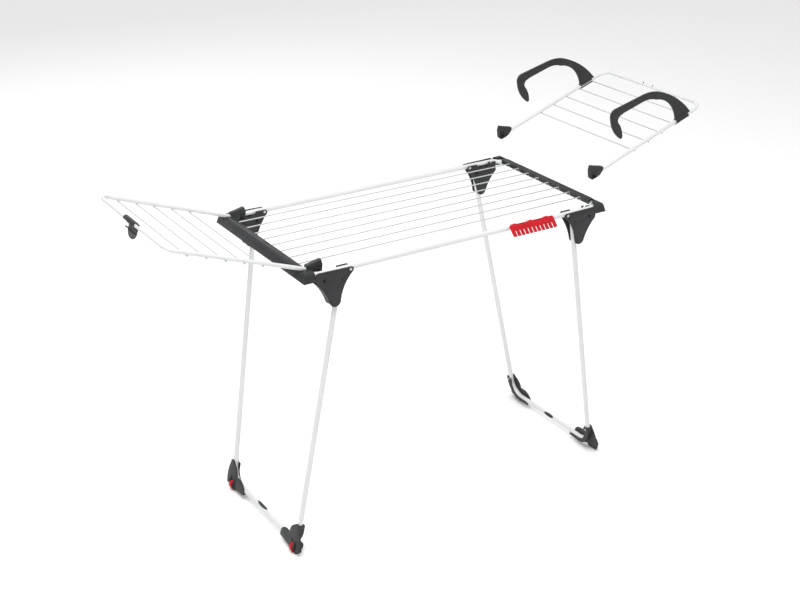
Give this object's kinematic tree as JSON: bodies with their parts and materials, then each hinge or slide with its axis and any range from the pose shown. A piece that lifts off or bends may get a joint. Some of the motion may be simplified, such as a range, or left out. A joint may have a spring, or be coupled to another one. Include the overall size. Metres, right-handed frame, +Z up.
{
  "type": "clothes drying rack",
  "caption": "Folding clothes drying rack: wire-filled frame on two folding U-legs, two hinged end wings, one lifting off with hanging hooks, transport wheels and a sliding sock holder.",
  "frame": {"origin": "on the floor, under the middle of the whole rack's box", "axes": "+X along the rack towards the wing that lifts off, +Y across the rack towards the back, +Z up"},
  "size_m": [1.8807, 0.5814, 1.2603],
  "materials": {
    "coated_tube": "white powder coat, semi gloss",
    "coated_wire": "white powder coat on steel wire",
    "dark_plastic": "anthracite moulded plastic, fine grain",
    "red_plastic": "red moulded plastic, semi gloss",
    "white_cap": "white painted rivet heads",
    "steel_pin": "blackened steel"
  },
  "bodies": {
    "frame": {"front_rail_tube": "coated_tube", "back_rail_tube": "coated_tube", "tube_joiners": "dark_plastic", "frame_wires": "coated_wire", "end_bar_left": "dark_plastic", "end_bar_right": "dark_plastic", "leg_bracket_left_front_outer": "dark_plastic", "leg_bracket_left_front_inner": "dark_plastic", "leg_bracket_left_back_outer": "dark_plastic", "leg_bracket_left_back_inner": "dark_plastic", "leg_bracket_right_front_outer": "dark_plastic", "leg_bracket_right_front_inner": "dark_plastic", "leg_bracket_right_back_outer": "dark_plastic", "leg_bracket_right_back_inner": "dark_plastic", "rail_rivets": "white_cap", "bracket_screws": "steel_pin", "leg_pivot_pins": "steel_pin", "left_wing_pins": "steel_pin"},
    "left_wing": {"left_wing_tube": "coated_tube", "left_wing_wires": "coated_wire", "left_wing_clip_front": "dark_plastic", "left_wing_clip_back": "dark_plastic", "left_wing_rivets": "white_cap"},
    "left_latch": {"left_wing_latch": "dark_plastic"},
    "right_dock": {"right_wing_pins": "steel_pin"},
    "right_wing": {"right_wing_tube": "coated_tube", "right_wing_wires": "coated_wire", "right_wing_clip_front": "dark_plastic", "right_wing_clip_back": "dark_plastic", "right_wing_rivets": "white_cap", "right_wing_bar_plugs": "dark_plastic"},
    "front_hook": {"hook_front": "dark_plastic", "hook_cap_front": "dark_plastic"},
    "back_hook": {"hook_back": "dark_plastic", "hook_cap_back": "dark_plastic"},
    "left_leg": {"left_leg_tube": "coated_tube", "left_leg_plugs": "dark_plastic", "left_foot_front_outer": "dark_plastic", "left_foot_front_inner": "dark_plastic", "left_foot_back_outer": "dark_plastic", "left_foot_back_inner": "dark_plastic", "left_foot_screws": "steel_pin", "left_wheel_axles": "steel_pin", "left_crossbar_clip": "dark_plastic"},
    "right_leg": {"right_leg_tube": "coated_tube", "right_leg_plugs": "dark_plastic", "right_foot_front_outer": "dark_plastic", "right_foot_front_inner": "dark_plastic", "right_foot_back_outer": "dark_plastic", "right_foot_back_inner": "dark_plastic", "right_foot_screws": "steel_pin", "right_crossbar_clip": "dark_plastic"},
    "front_wheel": {"left_wheel_front": "red_plastic"},
    "back_wheel": {"left_wheel_back": "red_plastic"},
    "holder": {"sock_holder": "red_plastic"}
  },
  "joints": [
    {"name": "left_wing_fold", "type": "hinge", "parent": "frame", "child": "left_wing", "pos_m": [-0.4905, 0, 0.9292], "axis": [0, 1, 0], "range_deg": [0, 156]},
    {"name": "latch_swing", "type": "hinge", "parent": "left_wing", "child": "left_latch", "pos_m": [-0.93244, 0, 1.08918], "axis": [0, 1, 0], "range_deg": [-100, 100]},
    {"name": "right_wing_lift", "type": "slide", "parent": "frame", "child": "right_dock", "axis": [0.3371, 0, 0.9415], "range_m": [-0.1026, 0]},
    {"name": "right_wing_fold", "type": "hinge", "parent": "right_dock", "child": "right_wing", "pos_m": [0.49209, 0, 1.02579], "axis": [0, -1, 0], "range_deg": [0, 156]},
    {"name": "front_hook_fold", "type": "hinge", "parent": "right_wing", "child": "front_hook", "pos_m": [0.8367, -0.24, 1.15054], "axis": [-0.9403, 0, -0.3404], "range_deg": [0, 90]},
    {"name": "back_hook_fold", "type": "hinge", "parent": "right_wing", "child": "back_hook", "pos_m": [0.8367, 0.24, 1.15054], "axis": [0.9403, 0, 0.3404], "range_deg": [0, 90]},
    {"name": "left_leg_fold", "type": "hinge", "parent": "frame", "child": "left_leg", "pos_m": [-0.433, 0, 0.905], "axis": [0, -1, 0], "range_deg": [0, 97.5]},
    {"name": "right_leg_fold", "type": "hinge", "parent": "frame", "child": "right_leg", "pos_m": [0.4, 0, 0.905], "axis": [0, 1, 0], "range_deg": [0, 95.6]},
    {"name": "front_wheel_spin", "type": "hinge", "parent": "left_leg", "child": "front_wheel", "pos_m": [-0.57709, -0.21, 0.018], "axis": [0, 1, 0], "continuous": true},
    {"name": "back_wheel_spin", "type": "hinge", "parent": "left_leg", "child": "back_wheel", "pos_m": [-0.57709, 0.21, 0.018], "axis": [0, 1, 0], "continuous": true},
    {"name": "holder_slide", "type": "slide", "parent": "frame", "child": "holder", "axis": [1, 0, 0], "range_m": [-0.52, 0.035]}
  ]
}
